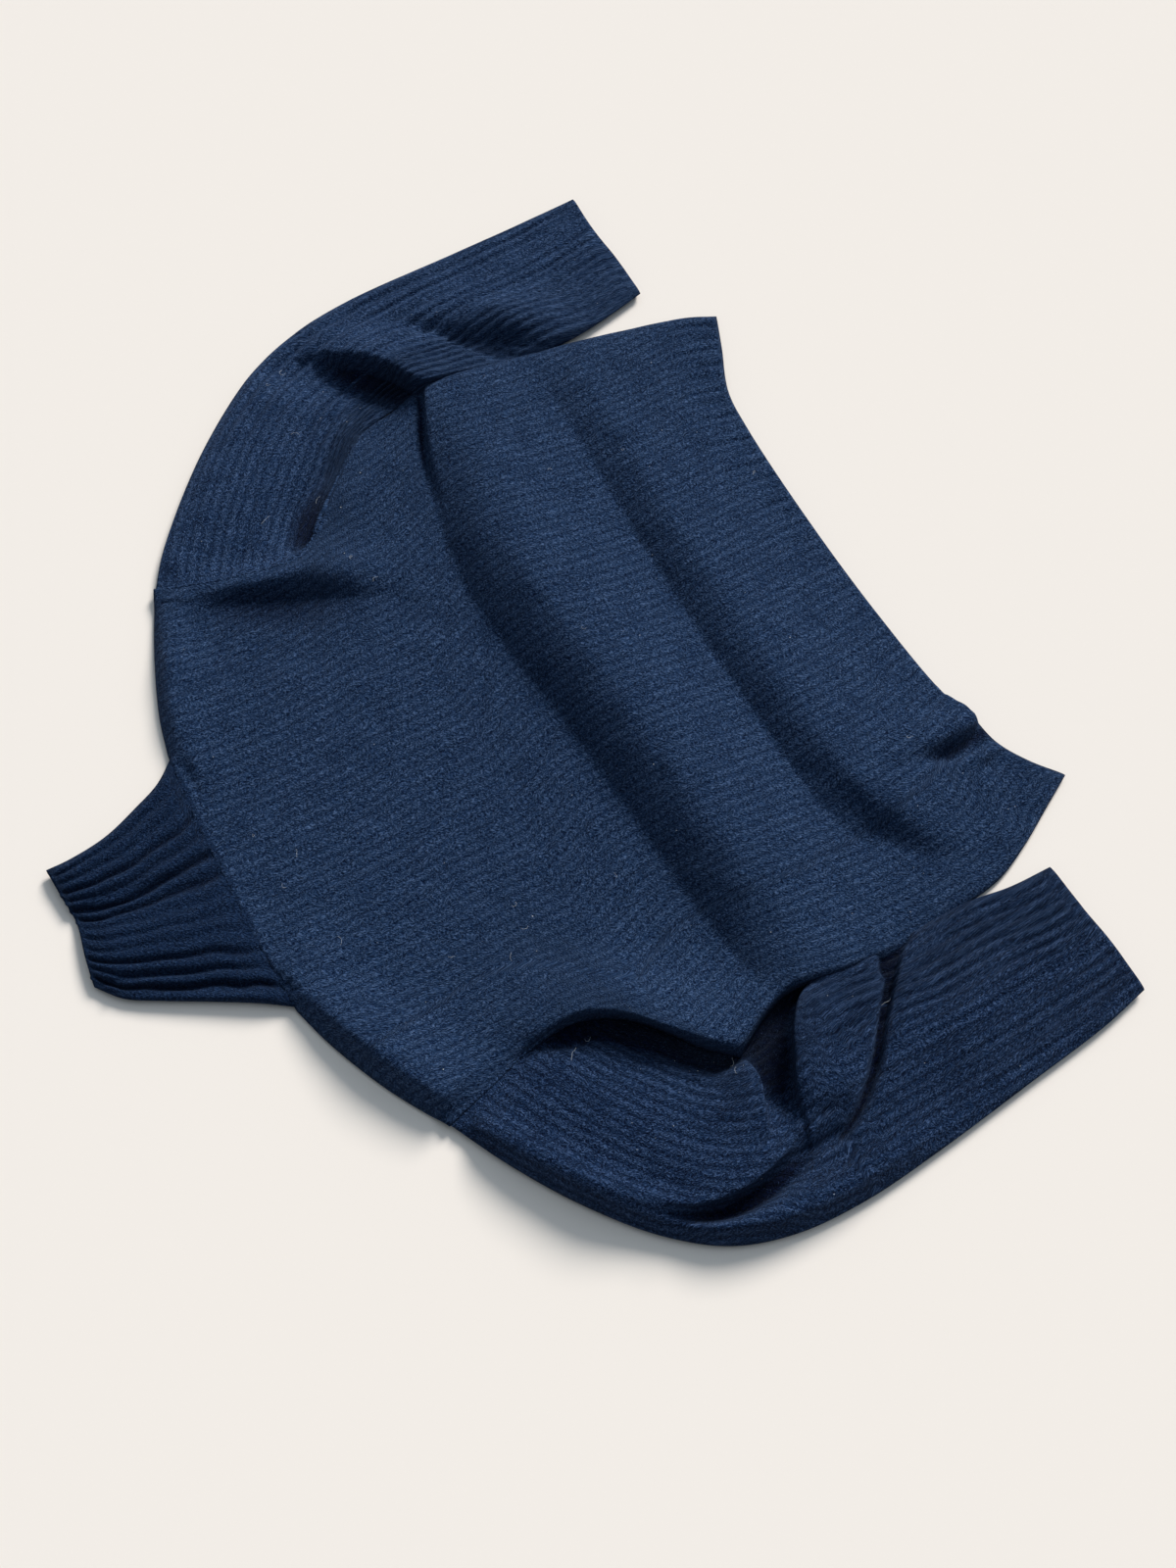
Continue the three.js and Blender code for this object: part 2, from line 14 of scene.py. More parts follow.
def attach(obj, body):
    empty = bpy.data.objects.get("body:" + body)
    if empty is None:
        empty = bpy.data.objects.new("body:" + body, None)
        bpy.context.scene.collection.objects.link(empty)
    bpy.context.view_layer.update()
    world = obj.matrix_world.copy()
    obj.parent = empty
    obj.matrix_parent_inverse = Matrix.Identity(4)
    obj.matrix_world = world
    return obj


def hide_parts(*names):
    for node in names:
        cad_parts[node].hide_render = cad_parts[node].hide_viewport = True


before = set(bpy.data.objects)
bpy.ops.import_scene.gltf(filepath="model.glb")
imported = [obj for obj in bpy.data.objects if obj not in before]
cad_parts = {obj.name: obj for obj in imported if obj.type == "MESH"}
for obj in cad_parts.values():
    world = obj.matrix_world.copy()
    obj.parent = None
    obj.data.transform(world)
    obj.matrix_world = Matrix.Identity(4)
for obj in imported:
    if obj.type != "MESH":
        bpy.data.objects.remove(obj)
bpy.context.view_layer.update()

# --------------------------------------------------------------------------------------------------
# Table and light. A pale matt table top under one soft lamp that stands beyond the hem, with a wide
# reflector above it and a weak cool fill from all round. The camera looks down steeply across the
# wearer's right shoulder.
# --------------------------------------------------------------------------------------------------
camera_place = Vector((-0.6124, 0.2871, 1.5648))
camera_aim = Vector((-0.0523, -0.0391, 0.0))
camera_lens = 50
camera_sensor = 36
lamps = [  # where each stands, its strength, how wide it looks in radians, and its colour
    ("soft lamp", (0.74, -1.18, 0.87), 4.33, 0.38, (1.0, 0.965, 0.93)),
    ("wide reflector", (0.35, -0.55, 1.0), 0.82, 1.6, (0.85, 1.0, 1.16)),
]
fill_colour = (0.85, 1.0, 1.16, 1.0)
fill_strength = 0.19
table_size = 6.0
table_drop = 0.0003  # keeps the table clear of the cloth that lies on it
table_finish = {
    "Base Color": (0.826, 0.762, 0.694, 1.0),
    "Roughness": 0.9,
    "Specular IOR Level": 0.0,
}


def placed(name, data):
    """Puts a camera, a lamp or a mesh into the scene."""
    made = bpy.data.objects.new(name, data)
    bpy.context.scene.collection.objects.link(made)
    return made


def placed_mesh(name, bm):
    mesh = bpy.data.meshes.new(name)
    bm.to_mesh(mesh)
    bm.free()
    return placed(name, mesh)


def new_material(name, finish):
    """A material with its tree and shader. Its finish is what is the same all over the surface."""
    material = bpy.data.materials.new(name)
    material.use_nodes = True
    shader = material.node_tree.nodes["Principled BSDF"]
    for socket, value in finish.items():
        shader.inputs[socket].default_value = value
    return material, material.node_tree, shader


camera = placed("camera", bpy.data.cameras.new("camera"))
camera.location = camera_place
camera.rotation_euler = (camera_aim - camera_place).to_track_quat("-Z", "Y").to_euler()
camera.data.lens = camera_lens
camera.data.sensor_width = camera_sensor
bpy.context.scene.camera = camera
bpy.context.scene.view_settings.view_transform = "Standard"

for name, lamp_from, strength, width, colour in lamps:
    lamp = placed(name, bpy.data.lights.new(name, "SUN"))
    lamp.data.energy = strength
    lamp.data.angle = width
    lamp.data.color = colour
    lamp.rotation_euler = Vector(lamp_from).to_track_quat("Z", "Y").to_euler()

room = bpy.data.worlds.new("room")
room.use_nodes = True
room.node_tree.nodes["Background"].inputs["Color"].default_value = fill_colour
room.node_tree.nodes["Background"].inputs["Strength"].default_value = fill_strength
bpy.context.scene.world = room

bm = bmesh.new()
bmesh.ops.create_grid(bm, x_segments=1, y_segments=1, size=table_size / 2)
bmesh.ops.translate(bm, verts=bm.verts, vec=(0, 0, -table_drop))
table = placed_mesh("table", bm)
table.data.materials.append(new_material("matt table paint", table_finish)[0])

# --------------------------------------------------------------------------------------------------
# Back. One knitted panel of brushed navy wool, flat on the table under the front. Its cut has
# straight sides, two hollowed armholes, sloping shoulders and a shallow neckline, and it is linked
# to the front along both sides.
# --------------------------------------------------------------------------------------------------
millimetre = 0.001
hem_middle = np.array((16.3, -358.0))  # midway between the hem's corners, in the frame

hem_line = [
    (-250, -5), (-226, 13), (-200, 26), (-165, 31), (-145, 38), (-60, 45), (40, 47), (140, 44),
    (178, 39), (218, 21), (248, 8),
]
right_side = [
    (-250, -5), (-266, 25), (-282, 55), (-296, 90), (-301, 140), (-305, 200), (-302, 230),
    (-296, 254), (-293, 278), (-299, 300), (-308, 318), (-316, 333),
]
right_armhole = [
    (-316, 333), (-296, 353), (-271, 371), (-247, 393), (-232, 425), (-234, 465), (-244, 505),
    (-253, 543),
]
left_side = [
    (248, 8), (260, 32), (274, 80), (288, 135), (302, 203), (309, 240), (310, 266), (303, 292),
    (298, 322),
]
left_armhole = [
    (298, 322), (284, 341), (262, 364), (240, 388), (220, 412), (216, 440), (223, 470), (236, 505),
    (251, 537),
]
right_shoulder = [(-253, 543), (-205, 569), (-155, 589), (-119, 599)]
neckline = [(-119, 599), (-60, 600), (0, 598), (60, 596), (116, 591)]
left_shoulder = [(116, 591), (150, 582), (200, 562), (251, 537)]
underarm = 0.6  # how far up the panel's edge the underarm lies
collar_from = 0.275  # where the collar starts and ends along the panel's top
collar_to = 0.725

line_steps = 40  # from one point of a table to the next
weld_distance = 0.00001
cloth_thickness = 0.0028
back_closeness = 0.55  # how much closer the columns of stitches lie towards the edges
back_inset = 0.012  # the back is narrower, because the front's edges roll down over it
back_hem = 0.004  # where the back begins and ends along the patch, just inside the front
back_top = 0.99
back_level = 0.003


def smooth_line(points):
    """A smooth line in metres through a table's points, as a function of the share of its length."""
    knots = np.array(points, float)
    knots[:, :2] += hem_middle
    knots *= millimetre
    knots = np.vstack((2 * knots[0] - knots[1], knots, 2 * knots[-1] - knots[-2]))
    share = np.linspace(0, 1, line_steps, endpoint=False)[:, None]
    run = []
    for before, start, end, after in zip(knots, knots[1:], knots[2:], knots[3:]):
        gaps = ((before, start), (start, end), (end, after))
        early, now, late = (np.linalg.norm((q - p)[:2]) ** 0.5 for p, q in gaps)
        leave = end - start + now * ((start - before) / early - (end - before) / (early + now))
        reach = end - start + now * ((after - end) / late - (after - start) / (now + late))
        bend = 2 * (start - end) + leave + reach
        turn = 3 * (end - start) - 2 * leave - reach
        run.append(((bend * share + turn) * share + leave) * share + start)
    run = np.vstack(run + [knots[-2:-1]])
    length = distance_along(run[:, :2])

    def line(at):
        place = np.clip(at, 0, 1) * length[-1]
        return np.stack([np.interp(place, length, column) for column in run.T], -1)

    return line


def distance_along(run):
    return np.concatenate(([0], np.cumsum(np.linalg.norm(np.diff(run, axis=0), axis=1))))


def joined_line(*parts):
    """Several lines end to end. Each part is a table and the share of the run at which it ends."""
    lines = [(smooth_line(points), until) for points, until in parts]

    def line(at):
        at = np.asarray(at, float)
        start = 0
        place = None
        for part, until in lines:
            here = part((at - start) / (until - start))
            place = here if place is None else np.where((at > start)[..., None], here, place)
            start = until
        return place

    return line


def patch_between(start, end, first, last):
    """A patch between four lines: start and end run across it, first and last run along it."""

    def patch(across, along):
        u = across[..., None]
        v = along[..., None]
        ruled = (1 - v) * start(across) + v * end(across) + (1 - u) * first(along) + u * last(along)
        low = (1 - u) * start(0) + u * start(1)
        high = (1 - u) * end(0) + u * end(1)
        return ruled - (1 - v) * low - v * high

    return patch


def ease(value):
    """Rises smoothly from 0 to 1 as the value does, and stays level outside that range."""
    value = np.clip(value, 0, 1)
    return value * value * (3 - 2 * value)


def mix(low, high, share):
    return low + (high - low) * share


def quarter_round(distance, radius):
    """Height of a quarter circle that starts at an edge and levels off after the radius."""
    return np.sqrt(1 - (1 - np.clip(distance / radius, 0, 1)) ** 2)


def closer_at_ends(share, amount):
    return mix(share, ease(share), amount)


def knit_piece(name, columns, rows, surface, closed=False, turned=False):
    """A panel or tube of the knit. From the shares across and along, surface gives each point and how
    much painted shade it gets there for lying in a crease. The map called knit holds the real distance
    across the ribs and along them."""
    across, along = np.meshgrid(np.linspace(0, 1, columns + 1), np.linspace(0, 1, rows + 1))
    shape = surface(across, along)
    points = shape[..., :3]
    steps_across = np.linalg.norm(np.diff(points, axis=1, prepend=points[:, :1]), axis=-1)
    steps_along = np.linalg.norm(np.diff(points, axis=0, prepend=points[:1]), axis=-1)
    width = np.cumsum(steps_across, axis=1)
    length = np.cumsum(steps_along, axis=0)
    middle = columns // 4 if closed else columns // 2  # the column from which the ribs are counted
    width -= width[:, middle : middle + 1]
    bm = bmesh.new()
    knit = bm.loops.layers.uv.new("knit")
    painted_shade = bm.verts.layers.float.new("painted_shade")
    bmesh.ops.create_grid(bm, x_segments=columns, y_segments=rows, size=0.5, calc_uvs=True)
    for vertex in bm.verts:
        place = round((vertex.co.y + 0.5) * rows), round((vertex.co.x + 0.5) * columns)
        vertex.co = points[place]
        vertex[painted_shade] = shape[place][3]
    for face in bm.faces:
        for corner in face.loops:
            place = round(corner[knit].uv.y * rows), round(corner[knit].uv.x * columns)
            corner[knit].uv = width[place], length[place]
        face.smooth = True
    if turned:
        bmesh.ops.reverse_faces(bm, faces=bm.faces)
    if closed:
        bmesh.ops.remove_doubles(bm, verts=bm.verts, dist=weld_distance)
    piece = placed_mesh(name, bm)
    wall = piece.modifiers.new("wall", "SOLIDIFY")
    wall.thickness = cloth_thickness
    wall.offset = -1  # the points are those of the outer side
    return piece


def add_node(tree, kind, sockets=None, **settings):
    """A node of a material, with its settings, and its sockets linked or given their values."""
    made = tree.nodes.new("ShaderNode" + kind)
    for key, value in settings.items():
        setattr(made, key, value)
    for key, value in (sockets or {}).items():
        if isinstance(value, bpy.types.NodeSocket):
            tree.links.new(value, made.inputs[key])
        else:
            made.inputs[key].default_value = value
    return made


def worked_out(tree, operation, *values, kind="Math"):
    """What a sum in a material comes to."""
    return add_node(tree, kind, dict(enumerate(values)), operation=operation).outputs[0]


def sum_of(tree, *terms):
    """Adds up masks, each with its own weight."""
    total = None
    for mask, weight in terms:
        weighed = worked_out(tree, "MULTIPLY", mask, weight)
        total = weighed if total is None else worked_out(tree, "ADD", total, weighed)
    return total


# How fine each part of the knit's surface is, in bumps to the metre, and how far the rows wander
wander_scale = 75
rib_wander = 0.0025
stitch_wander = 0.006
stitch_scale = (900, 430, 1)
stitch_slants = (0.5, -0.45)
patch_scale = 130  # a patch of stitches whose legs show the same way
nub_scale = 430
fuzz_scale = 1050
worn_scale = 45  # where the nap hides the ribs
# The part of each one's noise that is spread from none to full
leg_contrast = (0.32, 0.68)
patch_contrast = (0.42, 0.58)
nap_contrast = (0.3, 0.7)
worn_contrast = (0.15, 0.55)
# What stitch legs, nubs, fuzz and ribs each add to the shade and to the height
# The ribs' part of the shade makes their grooves darker in colour: painted shade
shade_weights = (0.38, 0.26, 0.28, 0.27)
height_weights = (0.50, 0.6, 0.28, 0.8)
rib_pitch = 0.0088
rib_roundness = 0.6
knit_relief = 0.0014
painted_crease_shade = (-0.94, -0.90, -0.80)  # painted shade: what a full crease takes from each colour
knit_finish = {
    "Roughness": 0.92,
    "Specular IOR Level": 0.05,
    "Sheen Weight": 0.06,
    "Sheen Roughness": 0.45,
    "Sheen Tint": (0.45, 0.62, 1.0, 1.0),
}
body_shades = [
    (0.29, (0.0011, 0.0060, 0.0235)),
    (0.56, (0.0137, 0.0347, 0.0856)),
    (0.86, (0.0665, 0.1120, 0.2119)),
]


def knit_group():
    """The surface of the brushed knit: ribs, slanted stitch legs, felted nubs and fine fuzz."""
    tree = bpy.data.node_groups.new("brushed knit surface", "ShaderNodeTree")
    for name in ("Rib Pitch", "Rib Depth"):
        tree.interface.new_socket(name, in_out="INPUT", socket_type="NodeSocketFloat")
    for name in ("Shade", "Height"):
        tree.interface.new_socket(name, in_out="OUTPUT", socket_type="NodeSocketFloat")
    given = tree.nodes.new("NodeGroupInput")
    result = tree.nodes.new("NodeGroupOutput")
    cloth = add_node(tree, "UVMap", uv_map="knit").outputs[0]

    def noise(vector, scale, detail=2.0, roughness=0.6):
        sockets = {"Vector": vector, "Scale": scale, "Detail": detail, "Roughness": roughness}
        return add_node(tree, "TexNoise", sockets, noise_dimensions="2D").outputs

    def spread(mask, low, high):
        sockets = {"Value": mask, "From Min": low, "From Max": high}
        return add_node(tree, "MapRange", sockets).outputs["Result"]

    def moved(vector, by, amount):
        sockets = {0: by, "Scale": amount}
        step = add_node(tree, "VectorMath", sockets, operation="SCALE").outputs[0]
        return worked_out(tree, "ADD", vector, step, kind="VectorMath")

    # The ribs wander a little and the stitches more, so nothing runs quite straight
    colours = noise(cloth, wander_scale)[1]
    wander = worked_out(tree, "SUBTRACT", colours, (0.5, 0.5, 0.0), kind="VectorMath")
    rows = moved(cloth, wander, rib_wander)
    cloth = moved(cloth, wander, stitch_wander)

    def stitch_legs(slant):
        sockets = {"Vector": cloth, "Rotation": (0, 0, slant), "Scale": stitch_scale}
        turned = add_node(tree, "Mapping", sockets).outputs[0]
        return spread(noise(turned, 1.0, roughness=0.55)[0], *leg_contrast)

    patches = spread(noise(cloth, patch_scale, detail=1.0)[0], *patch_contrast)
    one_way, other_way = (stitch_legs(slant) for slant in stitch_slants)
    legs = add_node(tree, "Mix", {"Factor": patches, "A": one_way, "B": other_way}).outputs[0]
    nubs = spread(noise(cloth, nub_scale, detail=3.0)[0], *nap_contrast)
    fuzz = spread(noise(cloth, fuzz_scale)[0], *nap_contrast)
    across = add_node(tree, "SeparateXYZ", {0: rows}).outputs[0]
    turns = worked_out(tree, "DIVIDE", across, given.outputs["Rib Pitch"])
    wave = worked_out(tree, "COSINE", worked_out(tree, "MULTIPLY", turns, 2 * np.pi))
    wave = worked_out(tree, "POWER", spread(wave, 1.0, -1.0), rib_roundness)
    worn = spread(noise(cloth, worn_scale)[0], *worn_contrast)
    wave = worked_out(tree, "MULTIPLY", wave, worn)
    ribs = worked_out(tree, "MULTIPLY", wave, given.outputs["Rib Depth"])
    parts = (legs, nubs, fuzz, ribs)
    for name, weights in (("Shade", shade_weights), ("Height", height_weights)):
        tree.links.new(sum_of(tree, *zip(parts, weights)), result.inputs[name])
    return tree


knit_surface = knit_group()


def shaded(tree, mask, shades):
    """The colours of a mask, from a table of steps on the mask, low to high, and their colours."""
    ramp = add_node(tree, "ValToRGB", {"Fac": mask})
    steps = ramp.color_ramp.elements
    for step, (position, colour) in zip(steps[:], (shades[0], shades[-1])):
        step.position = position
        step.color = (*colour, 1)
    for position, colour in shades[1:-1]:
        steps.new(position).color = (*colour, 1)
    return ramp.outputs["Color"]


def put_on(tree, shader, colour, height, strength, distance):
    """Gives the shader its colour and its relief."""
    sockets = {"Strength": strength, "Distance": distance, "Height": height}
    bump = add_node(tree, "Bump", sockets)
    tree.links.new(colour, shader.inputs["Base Color"])
    tree.links.new(bump.outputs["Normal"], shader.inputs["Normal"])


def knit_material(name, shades, rib_depth):
    """The brushed knit in its own shades, with ribs of its own depth."""
    material, tree, shader = new_material(name, knit_finish)
    surface = tree.nodes.new("ShaderNodeGroup")
    surface.node_tree = knit_surface
    surface.inputs["Rib Pitch"].default_value = rib_pitch
    surface.inputs["Rib Depth"].default_value = rib_depth
    colour = shaded(tree, surface.outputs["Shade"], shades)
    # Painted shade: the colour is darkened at the bottom of a deep crease, where shade falls
    crease_shade_mask = add_node(tree, "Attribute", attribute_name="painted_shade").outputs["Fac"]
    left = worked_out(tree, "MULTIPLY_ADD", crease_shade_mask, painted_crease_shade, (1, 1, 1), kind="VectorMath")
    colour = worked_out(tree, "MULTIPLY", colour, left, kind="VectorMath")
    put_on(tree, shader, colour, surface.outputs["Height"], strength=1.0, distance=knit_relief)
    return material


def back_surface(across, along):
    across = mix(back_inset, 1 - back_inset, closer_at_ends(across, back_closeness))
    place = body_patch(across, mix(back_hem, back_top, along))
    level = np.full(across.shape + (1,), back_level)
    return np.concatenate((place, level, np.zeros(level.shape)), -1)


right_edge = joined_line((right_side, underarm), (right_armhole, 1))
left_edge = joined_line((left_side, underarm), (left_armhole, 1))
top_edge = joined_line((right_shoulder, collar_from), (neckline, collar_to), (left_shoulder, 1))
body_patch = patch_between(smooth_line(hem_line), top_edge, right_edge, left_edge)
body_knit = knit_material("navy brushed knit", body_shades, rib_depth=0.5)
back = knit_piece("back_panel", columns=120, rows=110, surface=back_surface)
back.data.materials.append(body_knit)
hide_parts("back")
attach(back, "root")

# --------------------------------------------------------------------------------------------------
# Front. The same panel laid over the back, with its edges rolled down to the table. It lies in slack
# folds: one deep fold across the chest, a lower one above the hem, and short ones that the sleeves
# push up at the armholes.
# --------------------------------------------------------------------------------------------------
body_width = 0.52
body_height = 0.56
front_closeness = 0.35
front_level = 0.0078
hem_level = 0.0070
least_level = 0.0063
crumple_depth = 0.0004
crumple_waves = 26
crumple_lengths = (0.016, 0.060)
crumple_middle = 0.04  # a wave of this length has its full depth
# Heights of the front's edges, and how far in from each of them the cloth rises to its level
resting_edge = 0.0030  # its underside touches the table
neck_edge = 0.0086
hem_edge = 0.0045
hem_round = 0.004
side_round = 0.012
armhole_round = 0.010
shoulder_round = 0.014
flush_round = 0.020
edge_margin = 0.007  # how far in from an edge the ribs and the lean of the folds have set in
neck_fade = 0.02
underarm_fade = 0.06
# Where the front begins to run on smoothly into each sleeve, from the underarm up
right_flush_from = 0.6
left_flush_from = 0.25
flush_fade = 0.2
# The wide ribs of the hem, whose grooves are uneven
hem_rib_height = 0.070
hem_ribs = 40
hem_rib_depth = 0.0009
groove_depths = (0.55, 1.45)
# Height of the front's edge over the sleeves, from the underarm up to the shoulder
armhole_shares = [0, 0.1, 0.2, 0.4, 0.5, 0.7, 0.9, 1]
right_armhole_heights = [0.0050, 0.0050, 0.0050, 0.0050, 0.0055, 0.0075, 0.0090, 0.0075]
left_armhole_heights = [0.0070, 0.0095, 0.0135, 0.0180, 0.0170, 0.0170, 0.0120, 0.0075]

# Each fold runs through points that give its place and height, and has a width on its left and on its
# right. A soft one falls away evenly. A creased one ends in a sharp foot on its left. A negative
# height is a trough. A fold may lean over to its left by an amount that comes last, or to its right
# by a negative one.
front_folds = [
    # the deep fold across the chest, and its sharp end at the left side
    ([(-306, 246, 0), (-262, 250, 14), (-200, 256, 22), (-100, 261, 25), (0, 267, 26),
      (60, 273, 26), (120, 275, 26), (170, 268, 24), (220, 252, 21), (265, 236, 15),
      (306, 222, 8)], 44, 84, "creased"),
    ([(200, 297, 0), (232, 288, 3), (262, 276, 5), (288, 263, 6),
      (310, 253, 4)], 4, 30, "creased", 4),
    ([(222, 299, 0), (240, 294, -14), (262, 286, -24), (286, 274, -24),
      (306, 265, -12)], 3, 3, "soft"),
    # the fold above the hem, the fullness between the two, and the short pucker beside the right corner
    ([(-274, 88, 0), (-240, 116, 9), (-188, 141, 18), (-100, 148, 20), (0, 149, 19), (100, 146, 17),
      (200, 141, 12), (262, 137, 7), (296, 134, 0)], 32, 92, "creased"),
    ([(-230, 205, 0), (-100, 208, 5), (60, 208, 5), (230, 205, 0)], 110, 110, "soft"),
    ([(-172, 12, 6), (-176, 45, 11), (-181, 75, 9), (-192, 108, 0)], 17, 30, "creased", 3),
    ([(-206, 20, 2), (-207, 45, 4), (-203, 75, 0)], 5, 10, "soft"),
    ([(-187, 20, -18), (-189, 46, -15), (-188, 70, -13), (-186, 94, -4)], 10, 9, "soft"),
    ([(-264, 112, -3), (-242, 132, -7), (-216, 149, -8), (-180, 162, -4),
      (-130, 168, 0)], 16, 18, "soft"),
    # folds at the left armhole
    ([(160, 345, 0), (174, 382, 8), (190, 413, 15), (205, 443, 18), (217, 473, 17), (230, 503, 11),
      (241, 528, 2)], 26, 34, "soft"),
    ([(146, 376, -3), (158, 402, -8), (175, 434, -11), (192, 463, -12), (206, 488, -11),
      (220, 510, -6)], 42, 22, "soft"),
    ([(212, 428, 0), (224, 402, 5), (240, 378, 10), (260, 355, 10), (282, 334, 5),
      (297, 315, 1)], 10, 32, "soft", 3),
    # the roll that stands over the right sleeve, and the one below it along the side
    ([(-238, 500, 0), (-229, 470, 6), (-223, 445, 14), (-226, 415, 20), (-243, 388, 22),
      (-268, 366, 21), (-292, 345, 16), (-308, 327, 9)], 44, 9, "soft", -6),
    ([(-307, 328, 6), (-297, 300, 11), (-289, 272, 12), (-293, 240, 10), (-297, 205, 5),
      (-298, 180, 0)], 40, 8, "soft", -5),
    # the thick edge along both shoulders
    ([(-266, 518, 10), (-206, 552, 17), (-155, 573, 16), (-112, 588, 8)], 12, 44, "soft"),
    ([(108, 576, 6), (150, 568, 9), (198, 549, 9), (240, 527, 5)], 14, 30, "soft"),
]
fold_steps = 48
soft_fall = 1.6
creased_fall = 1.5
fold_reach = 2.0  # beyond this many widths a fold is no longer felt
# Depth of a trough at which its cloth begins to get painted shade, and at which that painted shade is
# full
painted_shade_from = 0.004
painted_shade_full = 0.019


def fold_shapes(folds):
    """Sum of the folds at each point of a plan: how far they raise it and push it aside, in metres,
    and how much painted shade it gets for lying in a crease, from 0 to 1."""
    steps = np.linspace(0, 1, fold_steps + 1)
    crests = [(smooth_line(points)(steps), *form) for points, *form in folds]

    def shape_at(place):
        total = np.zeros(place.shape[:-1])
        sunk = np.zeros(place.shape[:-1])
        pushed = np.zeros(place.shape)
        for crest, left, right, form, *lean in crests:
            reach = fold_reach * max(left, right) * millimetre
            low = crest[:, :2].min(0) - reach
            high = crest[:, :2].max(0) + reach
            near = np.all((place > low) & (place < high), axis=-1)
            here = place[near]
            nearest = np.full(len(here), np.inf)
            side = np.zeros(len(here))
            height = np.zeros(len(here))
            to_left = np.zeros(here.shape)
            for start, end in zip(crest, crest[1:]):
                way = (end - start)[:2]
                gap = here - start[:2]
                part = np.clip(gap @ way / (way @ way), 0, 1)
                distance = np.linalg.norm(gap - part[:, None] * way, axis=1)
                closer = distance < nearest
                nearest = np.where(closer, distance, nearest)
                side = np.where(closer, way[0] * gap[:, 1] - way[1] * gap[:, 0], side)
                to_left[closer] = (-way[1], way[0]) / np.linalg.norm(way)
                height = np.where(closer, mix(start[2], end[2], part), height)
            on_left = side > 0
            share = nearest / (np.where(on_left, left, right) * millimetre)
            soft = np.exp(-soft_fall * share * share)
            creased = np.maximum(0, 1 - share**creased_fall)
            raised = height * np.where(on_left & (form == "creased"), creased, soft)
            total[near] += raised
            sunk[near] += np.maximum(0, -raised)
            for amount in lean:
                share_of_crest = soft * height / np.abs(crest[:, 2]).max()
                pushed[near] += amount * millimetre * share_of_crest[:, None] * to_left
        return total, pushed, ease((sunk - painted_shade_from) / (painted_shade_full - painted_shade_from))

    return shape_at


def rib_relief(share, depths):
    """Broad ribs between narrow grooves, each with a depth of its own."""
    ribs = len(depths) - 1
    groove = (0.5 + 0.5 * np.cos(2 * np.pi * ribs * share)) ** 2
    return 1 - 2 * groove * depths[np.round(share * ribs).astype(int)]


def uneven_depths(ribs, seed):
    return np.random.default_rng(seed).uniform(*groove_depths, ribs + 1)


def crumple(place, seed, depth):
    """Slight unevenness of cloth that has been worn: many shallow waves in all directions."""
    waves = np.random.default_rng(seed)
    total = np.zeros(place.shape[:-1])
    for _ in range(crumple_waves):
        turn = waves.uniform(0, 2 * np.pi)
        length = waves.uniform(*crumple_lengths)
        start = waves.uniform(0, 2 * np.pi)
        across = place[..., 0] * np.cos(turn) + place[..., 1] * np.sin(turn)
        total += np.sin(2 * np.pi * across / length + start) * length / crumple_middle
    return depth * total / crumple_waves**0.5


def is_flush(up_armhole, is_right):
    """Where the front runs on into the sleeve: by the shoulder, and all along the left seam."""
    flush_from = np.where(is_right, right_flush_from, left_flush_from)
    return ease((up_armhole - flush_from) / flush_fade)


front_fold_shape = fold_shapes(front_folds)
hem_depths = uneven_depths(hem_ribs, seed=5)


def front_surface(across, along):
    across = closer_at_ends(across, front_closeness)
    place = body_patch(across, along)
    to_side = np.minimum(across, 1 - across) * body_width
    to_hem = along * body_height
    to_top = (1 - along) * body_height
    is_right = across < 0.5
    is_neck = ease((across - collar_from) / neck_fade) * ease((collar_to - across) / neck_fade)
    up_armhole = np.clip((along - underarm) / (1 - underarm), 0, 1)
    near_underarm = ease((along - underarm) / underarm_fade + 1)
    right_armhole_edge = np.interp(up_armhole, armhole_shares, right_armhole_heights)
    left_armhole_edge = np.interp(up_armhole, armhole_shares, left_armhole_heights)
    armhole_edge = np.where(is_right, right_armhole_edge, left_armhole_edge)
    side_edge = mix(resting_edge, armhole_edge, near_underarm)
    shoulder_edge = mix(resting_edge, neck_edge, is_neck)
    level = mix(hem_level, front_level, ease(to_hem / hem_rib_height))
    raised, pushed, painted_shade = front_fold_shape(place)
    place = place + pushed * ease(np.minimum(to_side, to_hem) / edge_margin)[..., None]
    height = np.maximum(level + raised + crumple(place, seed=3, depth=crumple_depth), least_level)
    ribs = hem_rib_depth * (1 - ease(to_hem / hem_rib_height)) * rib_relief(across, hem_depths)
    height = height + ribs * ease(to_side / edge_margin)
    height = mix(hem_edge, height, quarter_round(to_hem, hem_round))
    height = mix(shoulder_edge, height, quarter_round(to_top, shoulder_round))
    rounded = quarter_round(to_side, mix(side_round, armhole_round, near_underarm))
    smooth = ease(to_side / flush_round)
    height = mix(side_edge, height, mix(rounded, smooth, is_flush(up_armhole, is_right)))
    return np.concatenate((place, height[..., None], painted_shade[..., None]), -1)


front = knit_piece("front_panel", columns=224, rows=200, surface=front_surface)
front.data.materials.append(body_knit)
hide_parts("front")
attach(front, "root")

# --------------------------------------------------------------------------------------------------
# Sleeves. Each is a ribbed tube of the same knit, flattened where it lies. It is linked to the
# armhole, bends at the elbow and ends in an open ribbed cuff. The cloth bunches inside the elbow.
# --------------------------------------------------------------------------------------------------
right_outer = [
    (-253, 543), (-300, 519), (-350, 489), (-398, 451), (-430, 411), (-446, 366), (-451, 310),
    (-447, 240), (-439, 160), (-431, 85), (-423, 45),
]
right_inner = [
    (-312, 334), (-300, 318), (-286, 298), (-280, 276), (-284, 250), (-292, 226), (-298, 198),
    (-297, 150), (-299, 118), (-305, 85), (-307, 50),
]
right_cuff = [(-423, 45), (-385, 45), (-345, 48), (-307, 50)]
left_outer = [
    (251, 537), (277, 517), (321, 475), (361, 428), (396, 373), (412, 325), (418, 270), (416, 190),
    (414, 120), (413, 54),
]
